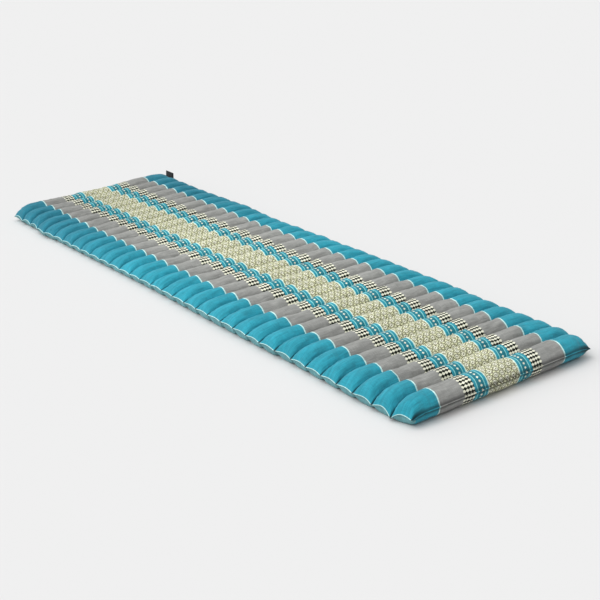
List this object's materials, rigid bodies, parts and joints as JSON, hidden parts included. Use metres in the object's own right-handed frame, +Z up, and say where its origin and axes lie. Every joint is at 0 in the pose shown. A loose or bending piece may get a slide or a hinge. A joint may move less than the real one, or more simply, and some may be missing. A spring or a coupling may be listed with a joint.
{
  "type": "thai roll-up mat",
  "caption": "Long flat floor mat of striped cotton, filled and sewn across its width into a row of parallel tubes, unrolled, with a small blank ribbon tab at one corner.",
  "frame": {"origin": "on the face that the mat lies on, under the middle of its middle tube", "axes": "+X along the mat towards its plump near end, +Y across it towards the long edge with the tab, +Z up"},
  "size_m": [2.027, 0.6248, 0.061],
  "materials": {
    "cotton": "matt woven cotton with lengthwise bands of teal, grey and cream patterns",
    "ribbon": "matt black woven ribbon"
  },
  "bodies": {
    "root": {"mat": "cotton", "blank_tab": "ribbon"}
  },
  "joints": []
}
